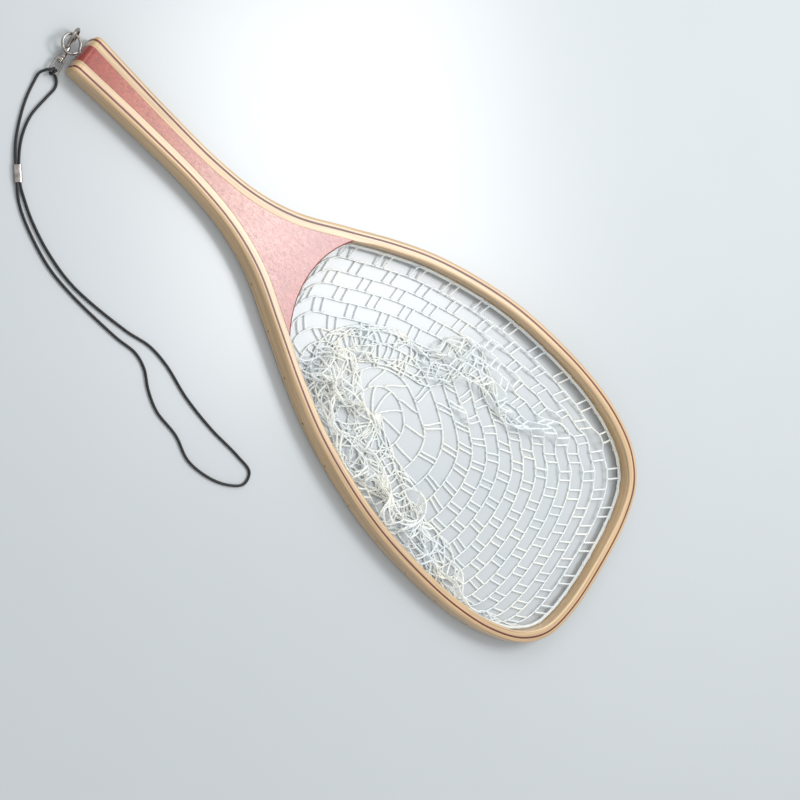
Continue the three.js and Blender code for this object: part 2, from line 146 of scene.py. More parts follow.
# Points so many places apart, the share of their length that they keep, and how much of the difference is
# made good when they are too far apart and when they are too near.
KEEP_LENGTH = (1, 1, 1.0, 0.7)
UNBEND_RING = (2, 1.95, 0.0, 0.9)
UNBEND_RING_FAR = (4, 3.75, 0.0, 0.54)
UNBEND_PATH = (2, 0.9, 0.0, 0.4)
NET_SEED = 7

# ---- the screw eye and the lacing, in millimetres ----
EYE_CENTRE = (-9.3, 0.2, 8)
EYE_RADIUS = 7
EYE_WIRE = 1.0
EYE_SCREW = 22
LACING_RADIUS = 0.28
# One stitch of the lacing, from its hole: along the rim, out from it, and up, in millimetres.
STITCH = [
    (-6, 0, 1.75), (-1.8, 0.9, 1.5), (-0.5, 2.0, 0.3), (-0.4, 5.5, -0.2), (0.4, 5.5, -0.2), (0.5, 2.0, -0.7),
    (1.3, 0.7, -1.6), (2.6, -1.2, -1.3), (3.8, -1.75, 0.2), (5.0, -0.9, 1.5), (6.8, 0, 1.75),
]

# ---- the lanyard cord: its route in millimetres from the butt face ----
CORD_DIAMETER = 2 * MM
ON_FLOOR = 1.1
IN_SLEEVE = 1.8
SLEEVE_CENTRE = (18, -93.8)
SLEEVE_DIRECTION = (0.677, -0.736)
SLEEVE_END = 7.5
STRAND_OFFSET = 1.2


def sleeve_point(along, across, z):
    dx, dy = SLEEVE_DIRECTION
    return (SLEEVE_CENTRE[0] + along * dx - across * dy, SLEEVE_CENTRE[1] + along * dy + across * dx, z)


CORD_ROUTE = [
    (-10.9, -25, 4.4), (-12.9, -29.4, 2.2), (-11.9, -36.5, ON_FLOOR), (-8, -53, ON_FLOOR), (3, -77, 1.3),
    sleeve_point(-SLEEVE_END, -STRAND_OFFSET, IN_SLEEVE), sleeve_point(SLEEVE_END, -STRAND_OFFSET, IN_SLEEVE),
    (30, -107.5, ON_FLOOR), (44, -116.2, ON_FLOOR), (74, -127.8, ON_FLOOR),
    (99, -131.6, ON_FLOOR), (146, -132.6, ON_FLOOR), (165, -131.4, ON_FLOOR),
    (177, -135.4, ON_FLOOR), (189, -145, ON_FLOOR), (204, -152.8, ON_FLOOR), (227, -156.6, ON_FLOOR),
    (246, -164.3, ON_FLOOR), (267, -163.5, ON_FLOOR), (284, -157.6, ON_FLOOR), (294.2, -149, ON_FLOOR),
    (292.6, -139.4, ON_FLOOR), (277, -136.4, ON_FLOOR), (247, -134.8, ON_FLOOR), (217, -130.2, ON_FLOOR),
    (190, -122.4, ON_FLOOR), (171, -120.4, ON_FLOOR), (149, -124, ON_FLOOR), (98, -126.3, ON_FLOOR),
    (69, -120.6, ON_FLOOR), (46, -111.6, ON_FLOOR), (33, -104.2, ON_FLOOR),
    sleeve_point(SLEEVE_END, STRAND_OFFSET, IN_SLEEVE), sleeve_point(-SLEEVE_END, STRAND_OFFSET, IN_SLEEVE),
    (5.2, -73, 1.3), (0.9, -57, ON_FLOOR), (1.9, -38, ON_FLOOR), (2.6, -29.6, ON_FLOOR), (1.3, -25.8, 1.2),
    (-0.9, -23.7, 1.5),
]
TURN_ROUTE = [
    (-9.3, -23.5, 5.2), (-7.9, -21.6, 5.1), (-7.3, -20.25, 3.5), (-7.0, -21.9, 1.6), (-6.6, -24.1, 2.0),
    (-6.2, -24.6, 3.6), (-5.8, -22.7, 5.0), (-5.2, -20.3, 3.6), (-4.3, -21.6, 1.6), (-2.6, -22.8, 1.25),
]


# ---- small geometry helpers ----
def in_row(points):
    """Net millimetres to metres in the row frame."""
    p = np.array(points, float)
    p[..., 0] -= BUTT_X
    return p * MM


def catmull(points, steps):
    """A centripetal Catmull-Rom line through the points, open, with so many steps between each two."""
    p = np.array(points, float)
    p = np.vstack([2 * p[0] - p[1], p, 2 * p[-1] - p[-2]])
    line = []
    for a, b, c, d in zip(p, p[1:], p[2:], p[3:]):
        t1 = np.linalg.norm(b - a) ** 0.5
        t2 = t1 + np.linalg.norm(c - b) ** 0.5
        t3 = t2 + np.linalg.norm(d - c) ** 0.5
        t = np.linspace(t1, t2, steps, endpoint=False)[:, None]
        ab = ((t1 - t) * a + t * b) / t1
        bc = ((t2 - t) * b + (t - t1) * c) / (t2 - t1)
        cd = ((t3 - t) * c + (t - t2) * d) / (t3 - t2)
        abc = ((t2 - t) * ab + t * bc) / t2
        bcd = ((t3 - t) * bc + (t - t1) * cd) / (t3 - t1)
        line.append(((t2 - t) * abc + (t - t1) * bcd) / (t2 - t1))
    return np.vstack(line + [p[-2:-1]])


def lengths_along(line):
    return np.concatenate([[0.0], np.cumsum(np.linalg.norm(np.diff(line, axis=0), axis=1))])


def resample(line, count):
    """So many points at equal distances along the line, both ends among them."""
    along = lengths_along(line)
    wanted = np.linspace(0, along[-1], count)
    return np.stack([np.interp(wanted, along, line[:, k]) for k in range(line.shape[1])], axis=1)


def link(obj):
    bpy.context.scene.collection.objects.link(obj)
    return obj


def mesh_piece(name, verts, faces, smooth=True):
    mesh = bpy.data.meshes.new(name)
    mesh.from_pydata([tuple(v) for v in verts], [], faces)
    mesh.validate()
    if smooth:
        mesh.polygons.foreach_set("use_smooth", [True] * len(mesh.polygons))
    return link(bpy.data.objects.new(name, mesh))


class bmesh_of:
    """Edits a piece's mesh through bmesh, and writes it back."""

    def __init__(self, piece):
        self.piece = piece

    def __enter__(self):
        self.mesh = bmesh.new()
        self.mesh.from_mesh(self.piece.data)
        return self.mesh

    def __exit__(self, *_):
        self.mesh.to_mesh(self.piece.data)
        self.mesh.free()


def face_outwards(piece):
    with bmesh_of(piece) as mesh:
        bmesh.ops.recalc_face_normals(mesh, faces=mesh.faces)


def smooth_faces(piece):
    piece.data.polygons.foreach_set("use_smooth", [True] * len(piece.data.polygons))


def ease_sharp_edges(piece, width, from_degrees):
    bevel = piece.modifiers.new("eased_edges", "BEVEL")
    bevel.width = width
    bevel.segments = 2
    bevel.limit_method = "ANGLE"
    bevel.angle_limit = math.radians(from_degrees)
    bevel.harden_normals = True


def tube(line, radius, sides, closed=False):
    """Vertices and faces of a round tube along a line, with fan ends unless it is closed. radius may vary."""
    p = np.asarray(line, float)
    n = len(p)
    radius = np.broadcast_to(radius, (n,))
    if closed:
        tangent = np.roll(p, -1, 0) - np.roll(p, 1, 0)
    else:
        tangent = np.gradient(p, axis=0)
    tangent /= np.linalg.norm(tangent, axis=1, keepdims=True) + 1e-12
    up = np.array([0.0, 0.0, 1.0])
    if abs(tangent[0] @ up) > 0.9:
        up = np.array([1.0, 0.0, 0.0])
    side = np.cross(tangent[0], up)
    side /= np.linalg.norm(side)
    frames = []
    for t in tangent:
        side = side - (side @ t) * t
        side /= np.linalg.norm(side) + 1e-12
        frames.append(side.copy())
    side = np.array(frames)
    other = np.cross(tangent, side)
    angle = np.arange(sides) * 2 * np.pi / sides
    ring = side[:, None] * np.cos(angle)[None, :, None] + other[:, None] * np.sin(angle)[None, :, None]
    verts = (p[:, None] + ring * radius[:, None, None]).reshape(-1, 3)
    faces = []
    for i in range(n if closed else n - 1):
        a, b = i * sides, ((i + 1) % n) * sides
        faces += [(a + j, a + (j + 1) % sides, b + (j + 1) % sides, b + j) for j in range(sides)]
    if not closed:
        first, last = len(verts), len(verts) + 1
        verts = np.vstack([verts, p[:1], p[-1:]])
        end = (n - 1) * sides
        faces += [(first, (j + 1) % sides, j) for j in range(sides)]
        faces += [(last, end + j, end + (j + 1) % sides) for j in range(sides)]
    return verts, faces


class Gather:
    """Collects the vertices and faces of many shells into one mesh."""

    def __init__(self):
        self.verts, self.faces, self.count = [], [], 0

    def add(self, verts, faces):
        self.verts.append(np.asarray(verts, float))
        self.faces += [tuple(i + self.count for i in f) for f in faces]
        self.count += len(verts)

    def piece(self, name):
        return mesh_piece(name, np.vstack(self.verts), self.faces)


# ---- materials ----
def new_material(name):
    material = bpy.data.materials.new(name)
    material.use_nodes = True
    return material, material.node_tree.nodes, material.node_tree.links


def shader_of(material):
    return material.node_tree.nodes["Principled BSDF"]


def mapped(nodes, links, scale, source="Object"):
    coords = nodes.new("ShaderNodeTexCoord")
    mapping = nodes.new("ShaderNodeMapping")
    mapping.inputs["Scale"].default_value = scale
    links.new(coords.outputs[source], mapping.inputs["Vector"])
    return mapping.outputs["Vector"]


def noise(nodes, links, vector, scale, detail=4.0, roughness=0.55, distortion=0.0):
    node = nodes.new("ShaderNodeTexNoise")
    node.inputs["Scale"].default_value = scale
    node.inputs["Detail"].default_value = detail
    node.inputs["Roughness"].default_value = roughness
    node.inputs["Distortion"].default_value = distortion
    links.new(vector, node.inputs["Vector"])
    return node.outputs["Fac"]


def ramp(nodes, links, fac, stops):
    node = nodes.new("ShaderNodeValToRGB")
    elements = node.color_ramp.elements
    while len(elements) < len(stops):
        elements.new(0.5)
    for element, (position, colour) in zip(elements, stops):
        element.position = position
        element.color = (*colour, 1.0)
    links.new(fac, node.inputs["Fac"])
    return node.outputs["Color"]


def mix_colour(nodes, links, fac, a, b, blend="MIX"):
    node = nodes.new("ShaderNodeMix")
    node.data_type = "RGBA"
    node.blend_type = blend
    for socket, value in ((node.inputs[0], fac), (node.inputs[6], a), (node.inputs[7], b)):
        if isinstance(value, (int, float)):
            socket.default_value = value
        elif isinstance(value, tuple):
            socket.default_value = (*value, 1.0)
        else:
            links.new(value, socket)
    return node.outputs[2]


def scaled(nodes, links, fac, low, high):
    node = nodes.new("ShaderNodeMapRange")
    node.inputs["To Min"].default_value = low
    node.inputs["To Max"].default_value = high
    links.new(fac, node.inputs["Value"])
    return node.outputs["Result"]


def bump(nodes, links, height, strength, distance, shader):
    node = nodes.new("ShaderNodeBump")
    node.inputs["Strength"].default_value = strength
    node.inputs["Distance"].default_value = distance
    links.new(height, node.inputs["Height"])
    links.new(node.outputs["Normal"], shader.inputs["Normal"])


def srgb(r, g, b):
    """A colour given in the 0 to 255 of a screen, as the linear colour that a shader wants."""
    values = [c / 255 for c in (r, g, b)]
    return tuple(c / 12.92 if c <= 0.04045 else ((c + 0.055) / 1.055) ** 2.4 for c in values)


def wood_material(name, light, mid, dark, grain_scale, coat, coat_roughness, source, pore=0.35):
    """Varnished wood: long grain along the first axis of its coordinates, pores, and slow colour drift."""
    material, nodes, links = new_material(name)
    shader = shader_of(material)
    long_grain = mapped(nodes, links, grain_scale, source)
    streaks = noise(nodes, links, long_grain, 1.0, 6.0, 0.6, 0.4)
    colour = ramp(nodes, links, streaks, [(0.28, dark), (0.5, mid), (0.72, light)])
    broad = mapped(nodes, links, tuple(g * 0.12 for g in grain_scale), source)
    drift = noise(nodes, links, broad, 1.0, 3.0)
    drift_colour = ramp(nodes, links, drift, [(0.3, (0.82, 0.80, 0.78)), (0.7, (1.0, 1.0, 1.0))])
    colour = mix_colour(nodes, links, 0.7, colour, drift_colour, "MULTIPLY")
    close = mapped(nodes, links, tuple(g * 3.2 for g in grain_scale), source)
    fine = noise(nodes, links, close, 1.0, 3.0, 0.7)
    pores = ramp(nodes, links, fine, [(0.36, (0.45, 0.38, 0.34)), (0.46, (1.0, 1.0, 1.0))])
    colour = mix_colour(nodes, links, pore, colour, pores, "MULTIPLY")
    links.new(colour, shader.inputs["Base Color"])
    links.new(scaled(nodes, links, fine, 0.34, 0.5), shader.inputs["Roughness"])
    shader.inputs["Coat Weight"].default_value = coat
    shader.inputs["Coat Roughness"].default_value = coat_roughness
    bump(nodes, links, streaks, 0.25, 0.00025, shader)
    return material


# ---- camera, floor and lights ----
def add_camera():
    data = bpy.data.cameras.new("camera")
    data.lens = CAMERA_LENS
    data.sensor_width = 36.0
    data.clip_start, data.clip_end = 0.05, 20.0
    camera = link(bpy.data.objects.new("camera", data))
    camera.location = CAMERA_POSITION
    camera.rotation_mode = "QUATERNION"
    towards = (CAMERA_TARGET - CAMERA_POSITION).to_track_quat("-Z", "Y")
    camera.rotation_quaternion = towards @ Quaternion((0, 0, 1), CAMERA_ROLL)
    bpy.context.scene.camera = camera
    bpy.context.scene.view_settings.view_transform = "Standard"


def add_floor():
    corners = ((-1, -1), (1, -1), (1, 1), (-1, 1))
    verts = [(x * FLOOR_HALF, y * FLOOR_HALF, FLOOR_DROP) for x, y in corners]
    floor = mesh_piece("floor", verts, [(0, 1, 2, 3)], smooth=False)
    material, nodes, links = new_material("floor_board")
    shader = shader_of(material)
    grain = noise(nodes, links, mapped(nodes, links, (1, 1, 1)), 14.0, 2.0)
    tone = ramp(nodes, links, grain, [(0.3, FLOOR_TONE), (0.7, tuple(c * 1.01 for c in FLOOR_TONE))])
    links.new(tone, shader.inputs["Base Color"])
    shader.inputs["Roughness"].default_value = 0.26
    floor.data.materials.append(material)


def add_area_light(name, location, target, size, power):
    data = bpy.data.lights.new(name, "AREA")
    data.shape = "RECTANGLE"
    data.size, data.size_y = size
    data.energy = power
    light = link(bpy.data.objects.new(name, data))
    light.location = location
    light.rotation_mode = "QUATERNION"
    light.rotation_quaternion = (Vector(target) - Vector(location)).to_track_quat("-Z", "Y")


def add_lights():
    """A softbox that the camera sees mirrored beside the throat, a fill light and a pale surround."""
    glance = (MIRROR_SPOT - CAMERA_POSITION).normalized()
    mirrored = Vector((glance.x, glance.y, -glance.z))
    add_area_light("softbox", MIRROR_SPOT + mirrored * 1.25, MIRROR_SPOT, (0.56, 0.40), 8.5)
    add_area_light("fill", (-0.9, 0.9, 1.3), (0.05, 0, 0), (1.0, 1.0), 8.0)
    world = bpy.data.worlds.new("studio")
    world.use_nodes = True
    world.node_tree.nodes["Background"].inputs["Color"].default_value = (0.95, 0.97, 1.0, 1)
    world.node_tree.nodes["Background"].inputs["Strength"].default_value = 0.95
    bpy.context.scene.world = world


# ---- the lanyard cord ----
def add_cord():
    line = resample(catmull(in_row(CORD_ROUTE), 24), 700)
    data = bpy.data.curves.new("wrist_cord", "CURVE")
    data.dimensions = "3D"
    data.bevel_depth = CORD_DIAMETER / 2
    data.bevel_resolution = 4
    data.use_fill_caps = True
    spline = data.splines.new("POLY")
    spline.points.add(len(line) - 1)
    for point, place in zip(spline.points, line):
        point.co = (*place, 1.0)
    cord = link(bpy.data.objects.new("wrist_cord", data))
    data.materials.append(cord_material())
    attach(cord, "lanyard")
    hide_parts("lanyard_cord")


def cord_material():
    material, nodes, links = new_material("black_braid")
    shader = shader_of(material)
    place = mapped(nodes, links, (1, 1, 1))
    braid = noise(nodes, links, place, 900.0, 2.0, 0.5)
    tone = ramp(nodes, links, braid, [(0.35, srgb(5, 5, 6)), (0.65, srgb(20, 20, 21))])
    links.new(tone, shader.inputs["Base Color"])
    links.new(scaled(nodes, links, braid, 0.45, 0.7), shader.inputs["Roughness"])
    bump(nodes, links, braid, 0.6, 0.0003, shader)
    return material


# ---- the hoop's plan lines ----
def outline_points():
    mirrored = [(x, -y) for x, y in reversed(HALF_OUTLINE)]
    return np.array([*HALF_OUTLINE, (TIP_X, 0), *mirrored], float)


def plan_line(steps):
    """The middle lamination's plan line and its outward normals, in millimetres from the butt face."""
    line = catmull(outline_points(), steps)
    tangent = np.gradient(line, axis=0)
    tangent /= np.linalg.norm(tangent, axis=1, keepdims=True)
    return line, np.stack([-tangent[:, 1], tangent[:, 0]], axis=1)


def hole_places():
    """Where the lacing holes cross the plan line: points and outward normals."""
    line, normal = plan_line(60)
    along = lengths_along(line)
    half = along[-1] / 2
    first = along[np.argmax(line[:, 0] >= FIRST_HOLE_X)]
    wanted = np.arange(first, half, HOLE_PITCH)
    wanted = np.concatenate([wanted, along[-1] - wanted[::-1]])
    point = np.stack([np.interp(wanted, along, line[:, k]) for k in (0, 1)], axis=1)
    outward = np.stack([np.interp(wanted, along, normal[:, k]) for k in (0, 1)], axis=1)
    return point, outward / np.linalg.norm(outward, axis=1, keepdims=True)


# ---- the bent laminations ----
def butt_factor(x):
    """The outer strip's share of its thickness, which rounds off the butt's corners in plan."""
    inside = np.clip(x / BUTT_ROUND, 0, 1)
    return BUTT_THINNEST + (1 - BUTT_THINNEST) * np.sqrt(1 - (1 - inside) ** 2)


def ease_butt(x, z):
    """Heights near the butt, drawn in so that its top and bottom edges are rounded over."""
    inside = np.clip(x / BUTT_EASE, 0, 1)
    half = FRAME_HEIGHT / 2
    share = 1 - BUTT_EASE / half * (1 - np.sqrt(1 - (1 - inside) ** 2))
    return half + (z - half) * share


def strip_section(square, rounded, radius):
    """A strip's section as (offset, height), square on one long side and rounded over on the other."""
    side = math.copysign(1, rounded - square)
    section = [(square, 0), (square, FRAME_HEIGHT / 2), (square, FRAME_HEIGHT)]
    for step in range(ROUND_STEPS + 1):
        angle = math.pi / 2 * (1 - step / ROUND_STEPS)
        section.append((rounded - side * radius * (1 - math.cos(angle)),
                        FRAME_HEIGHT - radius * (1 - math.sin(angle))))
    section.append((rounded, FRAME_HEIGHT / 2))
    for step in range(ROUND_STEPS + 1):
        angle = math.pi / 2 * step / ROUND_STEPS
        section.append((rounded - side * radius * (1 - math.cos(angle)), radius * (1 - math.sin(angle))))
    return section


def outer_section(x):
    start = MIDDLE_HALF + GLUE_LINE
    thick = (OUTER_FACE - start) * butt_factor(x)
    return strip_section(start, start + thick, min(OUTER_ROUNDING, thick * 0.8))


def middle_section(x):
    return [(-MIDDLE_HALF, 0), (-MIDDLE_HALF, FRAME_HEIGHT), (MIDDLE_HALF, FRAME_HEIGHT), (MIDDLE_HALF, 0)]


def inner_section(x):
    in_hoop = np.clip((x - HORN_TIP_X) / HORN_BLEND, 0, 1)
    face = INNER_FACE - HANDLE_JOINT * (1 - in_hoop)
    return strip_section(-MIDDLE_HALF - GLUE_LINE, face, INNER_ROUNDING + INNER_ROUNDING_MORE * in_hoop)


def loft_faces(rings, count):
    """The faces of a bar made of so many rings of count points each, with its two ends first."""
    faces = [tuple(range(count)), tuple((rings - 1) * count + k for k in reversed(range(count)))]
    for i in range(rings - 1):
        for k in range(count):
            a, b = i * count + k, i * count + (k + 1) % count
            faces.append((a, a + count, b + count, b))
    return faces


def lamination(name, section_at):
    """One strip bent round the whole frame, with UVs in metres: along the strip, and round its section."""
    line, normal = plan_line(12)
    along = lengths_along(line) * MM
    rings = []
    for point, outward in zip(line, normal):
        section = np.array(section_at(point[0]), float)
        plan = point + outward * section[:, :1]
        rings.append(np.column_stack([plan, ease_butt(point[0], section[:, 1])]))
    rings = in_row(rings)
    count = rings.shape[1]
    n = len(rings)
    strip = mesh_piece(name, rings.reshape(-1, 3), loft_faces(n, count))
    steps = np.linalg.norm(np.diff(np.vstack([rings[n // 3], rings[n // 3][:1]]), axis=0), axis=1)
    round_section = np.concatenate([[0], np.cumsum(steps)])
    uv = strip.data.uv_layers.new(name="strip")
    for polygon in strip.data.polygons:
        if len(polygon.vertices) != 4 or polygon.index < 2:
            continue
        wraps = {v % count for v in polygon.vertices} == {0, count - 1}
        for loop in polygon.loop_indices:
            vertex = strip.data.loops[loop].vertex_index
            station, k = divmod(vertex, count)
            across = round_section[count] if wraps and k == 0 else round_section[k]
            uv.data[loop].uv = (along[station], across)
    face_outwards(strip)
    return strip


def drill_rods():
    rods = Gather()
    for point, outward in zip(*hole_places()):
        depth = HORN_HOLE_DEPTH if point[0] < HORN_TIP_X else HOOP_HOLE_DEPTH
        ends = [np.append(point + outward * reach, HOLE_HEIGHT) for reach in (DRILL_START, -depth)]
        rods.add(*tube(in_row(ends), HOLE_RADIUS * MM, 14))
    piece = rods.piece("drill_rods")
    face_outwards(piece)
    return piece


def cut(piece, cutter):
    modifier = piece.modifiers.new("cut", "BOOLEAN")
    modifier.object = cutter
    modifier.solver = "EXACT"
    result = bpy.data.meshes.new_from_object(piece.evaluated_get(bpy.context.evaluated_depsgraph_get()))
    piece.modifiers.clear()
    piece.data = result


def ease_wood(piece):
    """Eases the edges of a wooden piece; the weld closes the open edges that the bevel leaves at the butt."""
    smooth_faces(piece)
    ease_sharp_edges(piece, EASED_EDGE, 50)
    weld = piece.modifiers.new("closed", "WELD")
    weld.merge_threshold = 0.02 * MM


def add_laminations():
    rods = drill_rods()
    light = light_wood_material()
    for name, section_at, node, material, slot in (
        ("outer_strip", outer_section, "outer_lamination", light, "light_wood"),
        ("middle_strip", middle_section, "middle_lamination", dark_wood_material(), "dark_wood"),
        ("inner_strip", inner_section, "inner_lamination", light, "light_wood"),
    ):
        strip = lamination(name, section_at)
        cut(strip, rods)
        ease_wood(strip)
        strip.data.materials.clear()
        strip.data.materials.append(material)
        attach(strip, "net_frame")
        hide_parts(node)
    bpy.data.objects.remove(rods)


def add_core():
    """The stained handle between the strips: a tapering bar with a rounded butt, cut off by the crescent."""
    line, normal = plan_line(12)
    side = (line + normal * (INNER_FACE - HANDLE_JOINT))[: len(line) // 2]
    stations = np.concatenate([np.linspace(0, BUTT_EASE, 10), np.linspace(*CORE_STATIONS, 120)])
    rings = []
    for x in stations:
        half = np.interp(x, side[:, 0], side[:, 1])
        heights = ease_butt(x, np.array([0, FRAME_HEIGHT]))
        rings.append([(x, y, heights[k]) for y, k in ((-half, 0), (-half, 1), (half, 1), (half, 0))])
    core = mesh_piece("handle_block", in_row(rings).reshape(-1, 3), loft_faces(len(rings), 4))
    face_outwards(core)
    ends = [(THROAT_CENTRE_X, 0, z) for z in (-CUT_PAST, FRAME_HEIGHT + CUT_PAST)]
    cutter = Gather()
    cutter.add(*tube(in_row(ends), THROAT_RADIUS * MM, CRESCENT_SIDES))
    crescent = cutter.piece("crescent_cutter")
    face_outwards(crescent)
    rods = drill_rods()
    cut(core, crescent)
    cut(core, rods)
    bpy.data.objects.remove(crescent)
    bpy.data.objects.remove(rods)
    ease_wood(core)
    core.data.materials.clear()
    core.data.materials.append(stained_wood_with_painted_highlight())
    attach(core, "net_frame")
    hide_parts("handle_core")


def light_wood_material():
    return wood_material("ash", srgb(214, 182, 138), srgb(192, 160, 116), srgb(152, 122, 80),
                         (9, 620, 620), 1.0, 0.3, "UV", pore=0.35)


def dark_wood_material():
    return wood_material("walnut", srgb(122, 52, 22), srgb(94, 34, 14), srgb(56, 18, 8),
                         (9, 620, 620), 0.15, 0.3, "UV", pore=0.3)


def stained_wood_with_painted_highlight():
    """Burl with a red stain, deepest at the butt, under varnish, and a painted highlight: a pale blue-white
    band across the handle's middle that stands for the softbox's glare on the varnish; a dull dark line
    follows the crescent.
    """
    material = wood_material("stained_burl_painted_highlight", srgb(232, 178, 168), srgb(218, 150, 142), srgb(186, 104, 98),
                             (240, 420, 420), 1.0, 0.2, "Object", pore=0.5)
    nodes, links = material.node_tree.nodes, material.node_tree.links
    shader = shader_of(material)
    colour = shader.inputs["Base Color"].links[0].from_socket
    place = mapped(nodes, links, (1, 1, 1))
    split = nodes.new("ShaderNodeSeparateXYZ")
    links.new(place, split.inputs[0])
    along = nodes.new("ShaderNodeMapRange")
    along.inputs["From Min"].default_value, along.inputs["From Max"].default_value = STAIN_AND_HIGHLIGHT_FROM, STAIN_AND_HIGHLIGHT_TO
    links.new(split.outputs["X"], along.inputs["Value"])
    # The ramp along the handle from the butt: red stain, deepest at the butt and red again at the throat end,
    # with a pale blue-white band from 0.58 to 0.74 between them that is painted highlight, the softbox's
    # glare on the varnish.
    stain_and_highlight = ramp(nodes, links, along.outputs["Result"],
                 [(0.0, (0.44, 0.06, 0.01)), (0.1, (0.50, 0.17, 0.07)), (0.22, (0.62, 0.33, 0.20)),
                  (0.42, (0.62, 0.44, 0.32)), (0.58, (0.71, 0.68, 0.60)), (0.74, (0.74, 0.78, 0.76)),
                  (0.9, (0.57, 0.44, 0.43)), (1.0, (0.50, 0.20, 0.18))])
    colour = mix_colour(nodes, links, 1.0, colour, stain_and_highlight, "MULTIPLY")
    speckle = noise(nodes, links, place, 850.0, 2.0, 0.6)
    dots = ramp(nodes, links, speckle, [(0.40, (0.50, 0.34, 0.30)), (0.56, (1.0, 1.0, 1.0))])
    colour = mix_colour(nodes, links, 0.55, colour, dots, "MULTIPLY")
    distance = nodes.new("ShaderNodeVectorMath")
    distance.operation = "DISTANCE"
    links.new(mapped(nodes, links, (1, 1, 0)), distance.inputs[0])
    distance.inputs[1].default_value = ((THROAT_CENTRE_X - BUTT_X) * MM, 0, 0)
    inside = nodes.new("ShaderNodeMapRange")
    inside.inputs["From Min"].default_value = (THROAT_RADIUS + CRESCENT_EDGE * 0.7) * MM
    inside.inputs["From Max"].default_value = (THROAT_RADIUS + CRESCENT_EDGE * 1.3) * MM
    links.new(distance.outputs["Value"], inside.inputs["Value"])
    colour = mix_colour(nodes, links, inside.outputs["Result"], srgb(112, 48, 40), colour)
    links.new(scaled(nodes, links, inside.outputs["Result"], 0.0, 0.75), shader.inputs["Coat Weight"])
    links.new(scaled(nodes, links, inside.outputs["Result"], 0.0, 0.4), shader.inputs["Specular IOR Level"])
    links.new(colour, shader.inputs["Base Color"])
    return material


# ---- the rubber bag: one moulded net, collapsed inside the hoop ----
def rim_line():
    """The bag's rim, just inside the hoop and the crescent: a closed line in millimetres, from the throat."""
    line, normal = plan_line(12)
    beside = line + normal * RIM_OFFSET
    radius = THROAT_RADIUS - RIM_OFFSET_THROAT
    centre = np.array([THROAT_CENTRE_X, 0.0])
    inside = (np.linalg.norm(beside - centre, axis=1) < radius) | (beside[:, 0] > centre[0])
    hoop = beside[inside]
    half = math.atan2(hoop[0][1], centre[0] - hoop[0][0])
    angle = np.linspace(-half, half, 41)[1:-1]
    crescent = np.column_stack([centre[0] - radius * np.cos(angle), radius * np.sin(angle)])
    middle = len(crescent) // 2
    return np.vstack([crescent[middle:], hoop, crescent[:middle + 1]])


def inward_normals(rim, to_hub):
    """Smoothed directions square in from the rim."""
    along = np.roll(rim, -1, 0) - np.roll(rim, 1, 0)
    inward = np.column_stack([-along[:, 1], along[:, 0]])
    if (to_hub * inward).sum() < 0:
        inward = -inward
    inward /= np.linalg.norm(inward, axis=1, keepdims=True)
    for _ in range(10):
        inward = 0.5 * inward + 0.25 * (np.roll(inward, 1, 0) + np.roll(inward, -1, 0))
    return inward / np.linalg.norm(inward, axis=1, keepdims=True)


def folded_start(rim):
    """The net folded flat: each column runs in from the rim, back out once or more, then to the hub."""
    path = RINGS[-1] - RINGS
    hub = np.array(HUB)
    to_hub = hub - rim
    distance = np.linalg.norm(to_hub, axis=1)
    inward = inward_normals(rim, to_hub)
    start = np.zeros((len(RINGS), COLUMNS, 3))
    for i, place in enumerate(rim):
        slack = max(path[0] - distance[i], 0)
        square = min(slack / SQUARE_FROM_SLACK, 1)
        way = inward[i] * square + to_hub[i] / distance[i] * (1 - square)
        way /= np.linalg.norm(way)
        folds = max(1, round(1 + EXTRA_FOLDS * max(0, (FOLD_MORE_UNDER - distance[i]) / FOLD_MORE_OVER)))
        reach = slack / 2 / folds
        places, heights, at = [place], [START_HEIGHT], 0
        for fold in range(folds):
            if folds == 1:
                at = max(reach + NEAREST_TURN, min(distance[i] * 0.8, reach + FURTHEST_TURN))
            else:
                at = min(distance[i] - 3, at + (distance[i] - 6) / folds * 0.5 + reach)
            places.append(place + way * at)
            heights.append(TURN_HEIGHT - fold)
            at = max(2, at - reach) if folds > 1 else at - reach
            places.append(place + way * at)
            heights.append(START_HEIGHT - fold / 2)
        places = np.array(places + [hub])
        heights.append(END_HEIGHT)
        leg = lengths_along(places)
        wanted = path * leg[-1] / path[0]
        values = (places[:, 0], places[:, 1], heights)
        start[:, i] = np.column_stack([np.interp(wanted, leg, value) for value in values])
    return start


